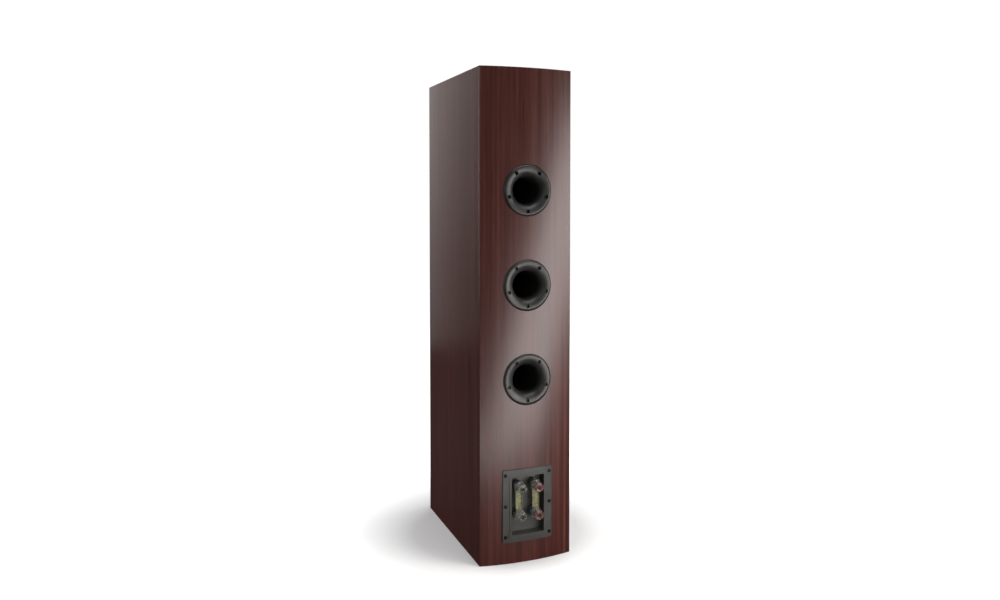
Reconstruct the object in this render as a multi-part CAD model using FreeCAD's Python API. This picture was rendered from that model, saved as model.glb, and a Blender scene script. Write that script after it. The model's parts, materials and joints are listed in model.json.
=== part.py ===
"""Three-woofer floorstanding speaker with a bowed back, three rear ports and bi-wire terminals.

Units are millimetres. +Z is up, the front faces -Y and the back faces +Y.
The origin is at the middle of the whole object's footprint, on the floor.
"""
import FreeCAD, Part
import math
import os

Vector = FreeCAD.Vector
X_AXIS = Vector(1, 0, 0)
Y_AXIS = Vector(0, 1, 0)
Z_AXIS = Vector(0, 0, 1)

# ---------------------------------------------------------------- driving dimensions
WIDTH = 220.0
HEIGHT = 1100.0
SIDE_DEPTH = 380.0        # front face to the rear vertical edges
BACK_BOW = 12.0           # how far the bowed back stands out behind those edges
WALL = 18.0
BAFFLE = 25.0
EDGE_R = 1.5              # rounding of the cabinet's outer edges
GRILLE_REACH = 18.0       # grille front in front of the baffle
POST_REACH = 22.0         # terminal cap tips behind the bowed back

FRONT_Y = GRILLE_REACH - (GRILLE_REACH + SIDE_DEPTH + BACK_BOW + POST_REACH) / 2
CORNER_Y = FRONT_Y + SIDE_DEPTH
APEX_Y = CORNER_Y + BACK_BOW
BACK_R = ((WIDTH / 2) ** 2 + BACK_BOW ** 2) / (2 * BACK_BOW)
BACK_CENTRE_Y = APEX_Y - BACK_R
INNER_X = WIDTH / 2 - WALL
INNER_TOP = HEIGHT - WALL
BAFFLE_BACK_Y = FRONT_Y + BAFFLE

# heights of what sits on the front and the back
CHAMBER_PITCH = 210.0
LOWEST_DRIVER_Z = 410.0
DRIVER_Z = {
    "lower": LOWEST_DRIVER_Z,
    "middle": LOWEST_DRIVER_Z + CHAMBER_PITCH,
    "upper": LOWEST_DRIVER_Z + 2 * CHAMBER_PITCH,
}
TWEETER_Z = 1006.0
PARTITION_Z = [LOWEST_DRIVER_Z + CHAMBER_PITCH * (n - 0.5) for n in range(4)]

# grille
GRILLE_W = 206.0
GRILLE_H = 1076.0
GRILLE_GAP = 1.0          # air between the frame and the baffle
GRILLE_BAR = 14.0
CLOTH_T = 1.0
GRILLE_CORNER = 8.0
PEG_R = 3.8
PEG_LENGTH = 11.0
PEG_X = GRILLE_W / 2 - CLOTH_T - GRILLE_BAR / 2
RAIL_Z = [305.0, 515.0, 725.0, 936.0]      # between the drivers
PEG_END_Z = GRILLE_H / 2 - CLOTH_T - GRILLE_BAR / 2
PEG_Z = [HEIGHT / 2 - PEG_END_Z] + RAIL_Z + [HEIGHT / 2 + PEG_END_Z]
SOCKET_R = 4.1
SOCKET_DEPTH = 14.0

# woofer, radii and depths behind the baffle's face
FLANGE_R = 89.0
FLANGE_T = 6.0
BASKET_R = 73.0
SEAT_CLEARANCE = 0.5
GLUE_LINE = 0.1           # gap filled by glue round a tube
WOOFER_SCREWS = 6
WOOFER_SCREW_R = 80.5
ROLL_MID_R = 62.5
ROLL_R = 5.5
SURROUND_T = 0.8
SURROUND_D = 2.0          # depth of the foot's underside
CONE_T = 1.2
CONE_RIM_R = 57.5
CONE_GAP = 0.3
CONE_NECK_D = 27.0
FORMER_R = 17.0
FORMER_T = 0.5
SPIDER_D = 50.0
SPIDER_R = 47.5
SPIDER_T = 0.8
TOP_PLATE_D = 62.0
PLATE_T = 6.0
MAGNET_T = 18.0
MAGNET_R = 50.0
PLATE_R = 45.0
POLE_R = 15.8
GAP_R = 18.9

# tweeter
TWEETER_R = 52.0
TWEETER_T = 5.0
TWEETER_SCREW_R = 45.5
DOME_R = 14.0
DOME_H = 4.6
DOME_T = 0.5
DOME_BASE_D = 6.6

# port
PORT_FLANGE_R = 57.0
PORT_PROUD = 1.5          # flange face behind the middle of the bowed back
PORT_FLANGE_T = 8.0
PORT_FACE_Y = APEX_Y + PORT_PROUD
PORT_SEAT_Y = PORT_FACE_Y - PORT_FLANGE_T
PORT_R = 31.0
PORT_WALL = 3.0
PORT_MOUTH_R = 50.0       # where the flare turns over into the flange
PORT_NECK_R = 41.0        # outside of the mouth where it passes through the panel
PORT_MOUTH_DEPTH = 20.0
PORT_LENGTH = 165.0
PORT_INNER_LIP = 8.0      # radius of the flare at the inner end
PORT_SOCKET = 12.0        # length of each flare that is glued over the tube
PORT_SOCKET_WALL = 2.5
PORT_SCREWS = 5
PORT_SCREW_R = 46.5

# terminal panel
PANEL_W = 118.0
PANEL_H = 162.0
PANEL_Z = 130.0
PANEL_T = 3.0
WELL_W = 78.0
WELL_H = 130.0
WELL_DEPTH = 20.0         # floor in front of the middle of the bowed back
WELL_WALL = 2.5
BEZEL_W = 5.0
BEZEL_T = 1.2
PANEL_SCREW_X = 53.0
PANEL_SCREW_DZ = 69.0
WELL_FLOOR_Y = APEX_Y - WELL_DEPTH
POST_X = 20.0
POST_MID_Z = 140.0
POST_DZ = 31.0
POSTS = {
    "treble_positive": (-POST_X, POST_MID_Z + POST_DZ),
    "treble_negative": (POST_X, POST_MID_Z + POST_DZ),
    "bass_positive": (-POST_X, POST_MID_Z - POST_DZ),
    "bass_negative": (POST_X, POST_MID_Z - POST_DZ),
}

# terminal post, distances behind the well's floor
BUSHING_R = 12.4
BUSHING_H = 14.0
BARREL_R = 4.0
BARREL_FLANGE_R = 8.0
BARREL_FLANGE_H = 2.0
JUMPER_H = BUSHING_H + BARREL_FLANGE_H
JUMPER_T = 1.6
JUMPER_W = 15.0
WASHER_H = JUMPER_H + JUMPER_T
WASHER_T = 2.0
WASHER_R = 11.5
CAP_H = WASHER_H + WASHER_T
TIP_H = WELL_DEPTH + POST_REACH
BARREL_TIP_H = TIP_H - 6.0
THREAD_CLEARANCE = 0.08
BANANA_R = 2.05
BANANA_DEPTH = 12.0       # within the barrel, above the wire hole
CAP_HOLE_R = 2.7
CAP_CORE_R = 6.0
CAP_FOOT_R = 12.4
CAP_GRIP_R = 10.3
CAP_FLUTES = 8
STUD_BACK = 16.0          # stud in front of the well's floor face, inside the cabinet

# feet
INSERT_X = 75.0
INSERT_Y = 150.0
INSERT_R = 6.0
INSERT_BORE_R = 3.4
INSERT_DEPTH = 15.0

# crossover and wiring, in the bottom bay
BOARD_T = 6.0
TRUNK_X = -68.0
TRUNK_Y = [-62.0, -50.0, -38.0, -26.0]
CABLE_R = 2.5
BOARD_TOP_Z = 240.0

SCREW_SHANK_R = 2.0
SCREW_HEAD_R = 4.2
SCREW_HEAD_H = 2.6
SCREW_CLEARANCE = 0.15


# ---------------------------------------------------------------- helpers
def box(x, y, z):
    """A box from three (low, high) pairs."""
    corner = Vector(x[0], y[0], z[0])
    return Part.makeBox(x[1] - x[0], y[1] - y[0], z[1] - z[0], corner)


def rod(radius, low, high, x, z):
    """A cylinder along Y from low to high."""
    return Part.makeCylinder(radius, high - low, Vector(x, low, z), Y_AXIS)


def ring(outer, inner, low, high, x, z):
    return rod(outer, low, high, x, z).cut(rod(inner, low, high, x, z))


def lathe(outline, x, z):
    """Turns a closed outline of (radius, y) points about the line along Y through x, z.

    A point written ((radius, y), (radius, y)) is an arc through the first to the second.
    """
    def at(point):
        return Vector(x + point[0], point[1], z)

    edges = []
    here = outline[0]
    for step in outline[1:] + [outline[0]]:
        if isinstance(step[0], tuple):
            edges.append(Part.Arc(at(here), at(step[0]), at(step[1])).toShape())
            here = step[1]
        else:
            edges.append(Part.LineSegment(at(here), at(step)).toShape())
            here = step
    face = Part.Face(Part.Wire(edges))
    return face.revolve(Vector(x, 0, z), Y_AXIS, 360)


def behind_baffle(outline):
    """Turns (radius, depth) points into (radius, y), depth counted from the baffle's face."""
    moved = []
    for step in outline:
        if isinstance(step[0], tuple):
            moved.append(tuple((r, FRONT_Y + d) for r, d in step))
        else:
            moved.append((step[0], FRONT_Y + step[1]))
    return moved


def dome_outline(edge_r, edge_depth, height, skin, wall=()):
    """Half the section of a spherical shell that bulges forwards; wall carries on from its edge."""
    ball_r = (edge_r ** 2 + height ** 2) / (2 * height)
    centre = edge_depth - height + ball_r

    def on_ball(radius, angle):
        return radius * math.sin(angle), centre - radius * math.cos(angle)

    outer_angle = math.asin(edge_r / ball_r)
    inner_angle = math.asin((edge_r - skin) / (ball_r - skin))
    outline = [
        (0.0, centre - ball_r),
        (on_ball(ball_r, outer_angle / 2), (edge_r, edge_depth)),
        *wall,
        on_ball(ball_r - skin, inner_angle),
        (on_ball(ball_r - skin, inner_angle / 2), (0.0, centre - ball_r + skin)),
    ]
    return outline


def around(count, radius, x, z, first=90.0):
    """Points evenly spaced on a circle that faces along Y, the first at an angle above +X."""
    for n in range(count):
        angle = math.radians(first + 360.0 * n / count)
        yield x + radius * math.cos(angle), z + radius * math.sin(angle)


def sector(radius, low, high, x, z, middle, spread):
    """A wedge of a cylinder along Y, spread degrees wide about the angle middle."""
    wedge = Part.makeCylinder(radius, high - low, Vector(0, 0, 0), Z_AXIS, spread)
    wedge.rotate(Vector(0, 0, 0), Z_AXIS, middle - spread / 2)
    wedge.rotate(Vector(0, 0, 0), X_AXIS, 90)
    wedge.translate(Vector(x, high, z))
    return wedge


def loft(first, second):
    """A solid with flat sides between two four-cornered outlines."""
    wires = []
    for points in (first, second):
        wires.append(Part.makePolygon([Vector(*p) for p in points + points[:1]]))
    return Part.makeLoft(wires, True, True)


def back_y(x, radius=BACK_R):
    """Y of the bowed back, or of a surface concentric with it, at a distance x from the middle."""
    return BACK_CENTRE_Y + math.sqrt(radius ** 2 - x ** 2)


def back_cylinder(radius, low, high):
    return Part.makeCylinder(radius, high - low, Vector(0, BACK_CENTRE_Y, low), Z_AXIS)


def rounded_block(width, height, radius, y, x, z):
    """A block along Y with rounded vertical corners in its face."""
    low, high = y
    block = box((x - width / 2, x + width / 2), (low, high), (z - height / 2, z + height / 2))
    corners = [e for e in block.Edges if abs(e.tangentAt(e.FirstParameter).y) > 0.99]
    return block.makeFillet(radius, corners)


def tube(points, radius):
    """A cable: straight runs joined by tangent arcs as large as the runs allow."""
    points = [Vector(*p) for p in points]
    edges = []
    here = points[0]
    for before, corner, after in zip(points, points[1:], points[2:]):
        into = (corner - before).normalize()
        out = (after - corner).normalize()
        half_turn = into.getAngle(out) / 2
        run = 0.45 * min((corner - before).Length, (after - corner).Length)
        bend = run / math.tan(half_turn)
        start = corner - into * run
        end = corner + out * run
        inward = (out - into).normalize()
        middle = corner + inward * (bend / math.cos(half_turn) - bend)
        edges.append(Part.LineSegment(here, start).toShape())
        edges.append(Part.Arc(start, middle, end).toShape())
        here = end
    edges.append(Part.LineSegment(here, points[-1]).toShape())
    path = Part.Wire(edges)
    heading = (points[1] - points[0]).normalize()
    section = Part.Wire([Part.makeCircle(radius, points[0], heading)])
    return path.makePipeShell([section], True, False)


def edges_at(body, y):
    """Edges that lie flat at one depth."""
    return [e for e in body.Edges if abs(e.BoundBox.YMin - y) < 0.01 and abs(e.BoundBox.YMax - y) < 0.01]


def screw(x, z, head_y, length, towards):
    """A socket-head wood screw along Y. head_y is under its head, towards is +1 or -1 for its point."""
    head = sorted((head_y, head_y - towards * SCREW_HEAD_H))
    shank = sorted((head_y, head_y + towards * length))
    body = rod(SCREW_HEAD_R, head[0], head[1], x, z).fuse(rod(SCREW_SHANK_R, shank[0], shank[1], x, z))
    body = body.removeSplitter()
    top_y = head_y - towards * SCREW_HEAD_H
    body = body.makeFillet(0.7, edges_at(body, top_y))
    corners = [Vector(px, top_y, pz) for px, pz in around(6, 1.8, x, z)]
    drive = Part.Face(Part.makePolygon(corners + corners[:1])).extrude(Y_AXIS * towards * 1.5)
    return body.cut(drive)


def screw_hole(x, z, head_y, length, towards, sink):
    """What a screw needs cut out for it: a seat sunk below the surface and a shank hole."""
    seat = sorted((head_y, head_y - towards * sink))
    shank = sorted((head_y - towards * 0.1, head_y + towards * (length + 0.5)))
    hole = rod(SCREW_HEAD_R + SCREW_CLEARANCE, seat[0], seat[1], x, z)
    return hole.fuse(rod(SCREW_SHANK_R + SCREW_CLEARANCE, shank[0], shank[1], x, z))


# ---------------------------------------------------------------- screws, by place
def woofer_screw_spots():
    for z in DRIVER_Z.values():
        yield from around(WOOFER_SCREWS, WOOFER_SCREW_R, 0, z)


def tweeter_screw_spots():
    yield from around(4, TWEETER_SCREW_R, 0, TWEETER_Z, first=45.0)


def port_screw_spots():
    for z in DRIVER_Z.values():
        yield from around(PORT_SCREWS, PORT_SCREW_R, 0, z, first=-90.0)


def panel_screw_spots():
    for x in (-PANEL_SCREW_X, PANEL_SCREW_X):
        for dz in (-PANEL_SCREW_DZ, 0, PANEL_SCREW_DZ):
            yield x, PANEL_Z + dz


DRIVER_HEAD_Y = FRONT_Y + 3.0
DRIVER_SCREW_LENGTH = 18.0
PORT_HEAD_Y = PORT_FACE_Y - 6.6
PORT_SCREW_LENGTH = 12.0
PANEL_HEAD_Y = back_y(PANEL_SCREW_X) + 1.0
PANEL_SCREW_LENGTH = 14.0


# ---------------------------------------------------------------- cabinet
def cabinet_outline():
    """The cabinet's whole outside with its edges rounded; each panel is trimmed to it."""
    outer = box((-WIDTH / 2, WIDTH / 2), (FRONT_Y, APEX_Y + 1), (0, HEIGHT))
    body = outer.common(back_cylinder(BACK_R, 0, HEIGHT))
    return body.makeFillet(EDGE_R, body.Edges)


def side_panel(side):
    """One side, mitred to its neighbours on all four edges; side is +1 or -1."""
    rear_inner_y = back_y(INNER_X, BACK_R - WALL)
    x_out, x_in = side * WIDTH / 2, side * INNER_X
    outer = [(x_out, FRONT_Y, 0), (x_out, CORNER_Y, 0), (x_out, CORNER_Y, HEIGHT), (x_out, FRONT_Y, HEIGHT)]
    inner = [
        (x_in, BAFFLE_BACK_Y, WALL),
        (x_in, rear_inner_y, WALL),
        (x_in, rear_inner_y, INNER_TOP),
        (x_in, BAFFLE_BACK_Y, INNER_TOP),
    ]
    return loft(outer, inner)


def end_panel(face_z, inner_z):
    """Top or bottom: mitred to the sides and the baffle, with a cone for a mitre along the bowed back."""
    far = APEX_Y + 60
    outer = flat_outline(WIDTH / 2, FRONT_Y, far, face_z)
    inner = flat_outline(INNER_X, BAFFLE_BACK_Y, far, inner_z)
    return loft(outer, inner).common(back_cone(face_z, inner_z))


def flat_outline(half, near_y, far_y, z):
    return [(-half, near_y, z), (half, near_y, z), (half, far_y, z), (-half, far_y, z)]


def back_cone(face_z, inner_z):
    low_r, high_r = (BACK_R, BACK_R - WALL) if face_z < inner_z else (BACK_R - WALL, BACK_R)
    return Part.makeCone(low_r, high_r, WALL, Vector(0, BACK_CENTRE_Y, min(face_z, inner_z)), Z_AXIS)


def bottom_panel():
    panel = end_panel(0, WALL)
    for x in (-INSERT_X, INSERT_X):
        for y in (-INSERT_Y, INSERT_Y):
            panel = panel.cut(Part.makeCylinder(INSERT_R, INSERT_DEPTH, Vector(x, y, 0), Z_AXIS))
    return panel


def upright_outline(half, y, low, high):
    return [(-half, y, low), (half, y, low), (half, y, high), (-half, y, high)]


def front_baffle():
    outer = upright_outline(WIDTH / 2, FRONT_Y, 0, HEIGHT)
    inner = upright_outline(INNER_X, BAFFLE_BACK_Y, WALL, INNER_TOP)
    baffle = loft(outer, inner)
    through = (FRONT_Y - 1, BAFFLE_BACK_Y + 1)
    for z in DRIVER_Z.values():
        baffle = baffle.cut(rod(FLANGE_R + SEAT_CLEARANCE, through[0], FRONT_Y + FLANGE_T, 0, z))
        baffle = baffle.cut(rod(BASKET_R + SEAT_CLEARANCE, through[0], through[1], 0, z))
    baffle = baffle.cut(rod(TWEETER_R + SEAT_CLEARANCE, through[0], FRONT_Y + TWEETER_T, 0, TWEETER_Z))
    baffle = baffle.cut(rod(TWEETER_R - 13, through[0], through[1], 0, TWEETER_Z))
    for x, z in list(woofer_screw_spots()) + list(tweeter_screw_spots()):
        baffle = baffle.cut(screw_hole(x, z, DRIVER_HEAD_Y, DRIVER_SCREW_LENGTH, 1, 1.0))
    for x in (-PEG_X, PEG_X):
        for z in PEG_Z:
            baffle = baffle.cut(rod(SOCKET_R, FRONT_Y, FRONT_Y + SOCKET_DEPTH, x, z))
    return baffle


def curved_back_panel():
    shell = back_cylinder(BACK_R, 0, HEIGHT).cut(back_cylinder(BACK_R - WALL, 0, HEIGHT))
    rear_inner_y = back_y(INNER_X, BACK_R - WALL)
    slope = (CORNER_Y - rear_inner_y) / WALL
    reach = 40.0
    corners = [
        (INNER_X - reach, rear_inner_y - slope * reach),
        (WIDTH / 2 + reach, CORNER_Y + slope * reach),
        (-WIDTH / 2 - reach, CORNER_Y + slope * reach),
        (-INNER_X + reach, rear_inner_y - slope * reach),
    ]
    wedge = Part.Face(Part.makePolygon([Vector(x, y, 0) for x, y in corners + corners[:1]]))
    panel = shell.common(wedge.extrude(Z_AXIS * HEIGHT))
    panel = panel.cut(back_cone(HEIGHT, INNER_TOP)).cut(back_cone(0, WALL))
    inside_y, outside_y = APEX_Y - 2 * WALL, APEX_Y + 10
    for z in DRIVER_Z.values():
        panel = panel.cut(rod(PORT_FLANGE_R + SEAT_CLEARANCE, PORT_SEAT_Y, outside_y, 0, z))
        panel = panel.cut(rod(PORT_NECK_R + SEAT_CLEARANCE, inside_y, outside_y, 0, z))
    clear = WELL_WALL + SEAT_CLEARANCE
    half_w, half_h = WELL_W / 2 + clear, WELL_H / 2 + clear
    panel = panel.cut(box((-half_w, half_w), (inside_y, outside_y), (PANEL_Z - half_h, PANEL_Z + half_h)))
    for x, z in port_screw_spots():
        panel = panel.cut(screw_hole(x, z, PORT_HEAD_Y, PORT_SCREW_LENGTH, -1, 1.0))
    for x, z in panel_screw_spots():
        panel = panel.cut(screw_hole(x, z, PANEL_HEAD_Y, PANEL_SCREW_LENGTH, -1, 1.0))
    return panel


def inner_outline(clearance, low, high):
    """The cabinet's inner space between two heights, drawn in by a clearance."""
    half = INNER_X - clearance
    block = box((-half, half), (BAFFLE_BACK_Y + clearance, APEX_Y), (low, high))
    return block.common(back_cylinder(BACK_R - WALL - clearance, low, high))


def chamber_partitions():
    partitions = []
    for z in PARTITION_Z:
        shelf = inner_outline(0, z - WALL / 2, z + WALL / 2)
        slot_x = (TRUNK_X - 5, TRUNK_X + 5)
        slot_y = (TRUNK_Y[0] - 6, TRUNK_Y[-1] + 6)
        partitions.append(shelf.cut(box(slot_x, slot_y, (z - WALL, z + WALL))))
    return Part.makeCompound(partitions)


def damping_pads():
    pad_t, pad_y, margin = 8.0, (-110.0, 130.0), 14.0
    floors = PARTITION_Z
    ceilings = PARTITION_Z[1:] + [INNER_TOP + WALL / 2]
    pads = []
    for floor, ceiling in zip(floors, ceilings):
        z = (floor + WALL / 2 + margin, ceiling - WALL / 2 - margin)
        for side in (-1, 1):
            x = sorted((side * INNER_X, side * (INNER_X - pad_t)))
            pads.append(box(x, pad_y, z))
    return Part.makeCompound(pads)


def spike_inserts():
    inserts = []
    for x in (-INSERT_X, INSERT_X):
        for y in (-INSERT_Y, INSERT_Y):
            body = Part.makeCylinder(INSERT_R, INSERT_DEPTH, Vector(x, y, 0), Z_AXIS)
            inserts.append(body.cut(Part.makeCylinder(INSERT_BORE_R, INSERT_DEPTH, Vector(x, y, 0), Z_AXIS)))
    return Part.makeCompound(inserts)


# ---------------------------------------------------------------- ports
def port_mouth(z):
    """Outer flare rolled over into its screwed flange, and a socket that holds the tube."""
    face, seat = PORT_FACE_Y, PORT_SEAT_Y
    throat = face - PORT_MOUTH_DEPTH
    flare = PORT_MOUTH_R - PORT_R
    roll = PORT_FLANGE_R - PORT_MOUTH_R
    bend = 1 - math.sqrt(0.5)
    socket_r = PORT_R + PORT_WALL + GLUE_LINE
    outline = [
        (PORT_FLANGE_R, seat),
        (PORT_FLANGE_R, face - 4.0),
        ((PORT_FLANGE_R - roll * bend, face - 4.0 * bend), (PORT_MOUTH_R, face)),
        ((PORT_R + flare * bend, face - PORT_MOUTH_DEPTH * bend), (PORT_R, throat)),
        (socket_r, throat),
        (socket_r, throat - PORT_SOCKET),
        (socket_r + PORT_SOCKET_WALL, throat - PORT_SOCKET),
        (socket_r + PORT_SOCKET_WALL, throat),
        (PORT_NECK_R, seat - 2),
        (PORT_NECK_R, seat),
    ]
    mouth = lathe(outline, 0, z)
    for sx, sz in around(PORT_SCREWS, PORT_SCREW_R, 0, z, first=-90.0):
        mouth = mouth.cut(screw_hole(sx, sz, PORT_HEAD_Y, PORT_SCREW_LENGTH, -1, 8.0))
    return mouth


def port_inner_flare(z):
    """Flare round the tube's inner end, socketed over it."""
    end = PORT_FACE_Y - PORT_LENGTH
    root = end + PORT_INNER_LIP
    knee = math.sqrt(0.5)
    socket_r = PORT_R + PORT_WALL + GLUE_LINE
    lip_r = PORT_R + PORT_INNER_LIP
    outline = [
        (PORT_R, root),
        ((lip_r - PORT_INNER_LIP * knee, root - PORT_INNER_LIP * knee), (lip_r, end)),
        (lip_r + PORT_WALL, end),
        (lip_r + PORT_WALL, end + PORT_WALL / 2),
        (socket_r + PORT_SOCKET_WALL, root + PORT_WALL),
        (socket_r + PORT_SOCKET_WALL, root + PORT_SOCKET),
        (socket_r, root + PORT_SOCKET),
        (socket_r, root),
    ]
    return lathe(outline, 0, z)


def port(z):
    """Flared port: a straight tube glued into a flare at each end."""
    tube_start = PORT_FACE_Y - PORT_LENGTH + PORT_INNER_LIP
    tube_end = PORT_FACE_Y - PORT_MOUTH_DEPTH
    straight = ring(PORT_R + PORT_WALL, PORT_R, tube_start, tube_end, 0, z)
    return Part.makeCompound([port_mouth(z), straight, port_inner_flare(z)])


# ---------------------------------------------------------------- woofers
def woofer_basket(z):
    outline = [
        (FLANGE_R, 0.6),
        (FLANGE_R, FLANGE_T),
        (BASKET_R, FLANGE_T),
        (51.0, 53.0),
        (51.0, TOP_PLATE_D),
        (22.0, TOP_PLATE_D),
        (22.0, 59.0),
        (43.0, 59.0),
        (43.0, SPIDER_D),
        (49.0, SPIDER_D),
        (68.5, FLANGE_T),
        (68.5, SURROUND_D),
        (72.0, SURROUND_D),
        (72.0, 0.4),
        (72.4, 0.0),
        (FLANGE_R - 0.6, 0.0),
    ]
    basket = lathe(behind_baffle(outline), 0, z)
    for n in range(WOOFER_SCREWS):
        window = sector(80, FRONT_Y + 14, FRONT_Y + 46, 0, z, 60 + 60 * n, 42)
        basket = basket.cut(window)
    for sx, sz in around(WOOFER_SCREWS, WOOFER_SCREW_R, 0, z):
        basket = basket.cut(screw_hole(sx, sz, DRIVER_HEAD_Y, DRIVER_SCREW_LENGTH, 1, 4.0))
    return basket


def woofer_surround(z):
    top = SURROUND_D - SURROUND_T
    outer_r, inner_r = ROLL_R + SURROUND_T / 2, ROLL_R - SURROUND_T / 2
    outline = [
        (71.5, SURROUND_D),
        (71.5, top),
        (ROLL_MID_R + outer_r, top),
        ((ROLL_MID_R, top - outer_r), (ROLL_MID_R - outer_r, top)),
        (54.0, top),
        (54.0, SURROUND_D),
        (ROLL_MID_R - inner_r, SURROUND_D),
        ((ROLL_MID_R, SURROUND_D - inner_r), (ROLL_MID_R + inner_r, SURROUND_D)),
    ]
    return lathe(behind_baffle(outline), 0, z)


def woofer_cone(z):
    """A shallow flared cone with a flat rim under the surround's inner foot."""
    rim_d = SURROUND_D + CONE_GAP
    neck_r = FORMER_R + 0.2
    mid_r, mid_d = 34.0, 16.5
    outline = [
        (CONE_RIM_R - 1.0, rim_d),
        (54.0, rim_d),
        ((mid_r, mid_d), (neck_r, CONE_NECK_D)),
        (neck_r, CONE_NECK_D + 1.6),
        ((mid_r + 0.8, mid_d + CONE_T), (54.0, rim_d + CONE_T)),
        (CONE_RIM_R - 1.0, rim_d + CONE_T),
    ]
    return lathe(behind_baffle(outline), 0, z)


def woofer_dust_cap(z):
    """A domed cap whose foot stands on the cone."""
    return lathe(behind_baffle(dome_outline(24.0, 22.6, 8.6, 0.8)), 0, z)


def woofer_voice_coil(z):
    bottom, winding = 77.0, (61.0, 75.0)
    outline = [
        (FORMER_R - FORMER_T, CONE_NECK_D - 1),
        (FORMER_R, CONE_NECK_D - 1),
        (FORMER_R, winding[0]),
        (FORMER_R + 1.0, winding[0]),
        (FORMER_R + 1.0, winding[1]),
        (FORMER_R, winding[1]),
        (FORMER_R, bottom),
        (FORMER_R - FORMER_T, bottom),
    ]
    return lathe(behind_baffle(outline), 0, z)


def woofer_spider(z):
    """A corrugated centring disc: rolls alternate above and below its flat rim."""
    start_r, rolls, pitch, rise = FORMER_R + CONE_GAP, 5, 5.0, 1.3
    flat_d = SPIDER_D - SPIDER_T
    outline = [(start_r, flat_d)]
    for n in range(rolls):
        low_r = start_r + n * pitch
        height = rise if n % 2 else -rise
        outline.append(((low_r + pitch / 2, flat_d + height), (low_r + pitch, flat_d)))
    outline += [(SPIDER_R, flat_d), (SPIDER_R, SPIDER_D), (start_r + rolls * pitch, SPIDER_D)]
    for n in reversed(range(rolls)):
        low_r = start_r + n * pitch
        height = rise if n % 2 else -rise
        outline.append(((low_r + pitch / 2, SPIDER_D + height), (low_r, SPIDER_D)))
    return lathe(behind_baffle(outline), 0, z)


def woofer_top_plate(z):
    low = FRONT_Y + TOP_PLATE_D
    return ring(PLATE_R, GAP_R, low, low + PLATE_T, 0, z)


def woofer_magnet(z):
    low = FRONT_Y + TOP_PLATE_D + PLATE_T
    return ring(MAGNET_R, 24.0, low, low + MAGNET_T, 0, z)


def woofer_pole_yoke(z):
    front = TOP_PLATE_D
    plate = TOP_PLATE_D + PLATE_T + MAGNET_T
    vent_r = 5.0
    outline = [
        (vent_r, front),
        (POLE_R, front),
        (POLE_R, plate),
        (PLATE_R, plate),
        (PLATE_R, plate + PLATE_T),
        (vent_r, plate + PLATE_T),
    ]
    return lathe(behind_baffle(outline), 0, z)


# ---------------------------------------------------------------- tweeter
def tweeter_faceplate():
    """A round plate dished into a short horn around the dome."""
    throat_r = DOME_R + 1.6
    outline = [
        (TWEETER_R, 0.5),
        (TWEETER_R, TWEETER_T),
        (30.0, TWEETER_T),
        (30.0, 9.0),
        (throat_r, 9.0),
        (throat_r, 5.6),
        ((throat_r + 7.0, 4.0), (36.0, 0.0)),
        (TWEETER_R - 0.5, 0.0),
    ]
    plate = lathe(behind_baffle(outline), 0, TWEETER_Z)
    for x, z in tweeter_screw_spots():
        plate = plate.cut(screw_hole(x, z, DRIVER_HEAD_Y, DRIVER_SCREW_LENGTH, 1, 4.0))
    return plate


def tweeter_dome():
    """Soft dome and its coil former in one bonded piece."""
    former_end = 15.0
    former = [(DOME_R, former_end), (DOME_R - DOME_T, former_end)]
    outline = dome_outline(DOME_R, DOME_BASE_D, DOME_H, DOME_T, former)
    return lathe(behind_baffle(outline), 0, TWEETER_Z)


def tweeter_motor():
    """Steel cup with its centre pole, closed at the back."""
    cup_r, pole_r, slot_r, front, back = 28.0, DOME_R - 1.2, DOME_R + 1.0, 9.0, 27.0
    outline = [
        (0.0, 10.0),
        (pole_r, 10.0),
        (pole_r, 21.0),
        (slot_r, 21.0),
        (slot_r, front),
        (cup_r, front),
        (cup_r, back),
        (0.0, back),
    ]
    return lathe(behind_baffle(outline), 0, TWEETER_Z)


def tweeter_rear_chamber():
    outline = [(0.0, 27.0), (25.0, 27.0), (25.0, 52.0), (22.0, 55.0), (0.0, 55.0)]
    return lathe(behind_baffle(outline), 0, TWEETER_Z)


def screws(spots, head_y, length, towards):
    return Part.makeCompound([screw(x, z, head_y, length, towards) for x, z in spots])


def driver_screws():
    spots = list(woofer_screw_spots()) + list(tweeter_screw_spots())
    return screws(spots, DRIVER_HEAD_Y, DRIVER_SCREW_LENGTH, 1)


def port_screws():
    return screws(port_screw_spots(), PORT_HEAD_Y, PORT_SCREW_LENGTH, -1)


def terminal_screws():
    return screws(panel_screw_spots(), PANEL_HEAD_Y, PANEL_SCREW_LENGTH, -1)


# ---------------------------------------------------------------- terminal panel
def curved_plate(width, height, corner, inner_r, outer_r):
    """A plate that follows the bowed back between two radii."""
    block = rounded_block(width, height, corner, (APEX_Y - 40, APEX_Y + 20), 0, PANEL_Z)
    low, high = PANEL_Z - height, PANEL_Z + height
    return block.common(back_cylinder(outer_r, low, high)).cut(back_cylinder(inner_r, low, high))


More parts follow.
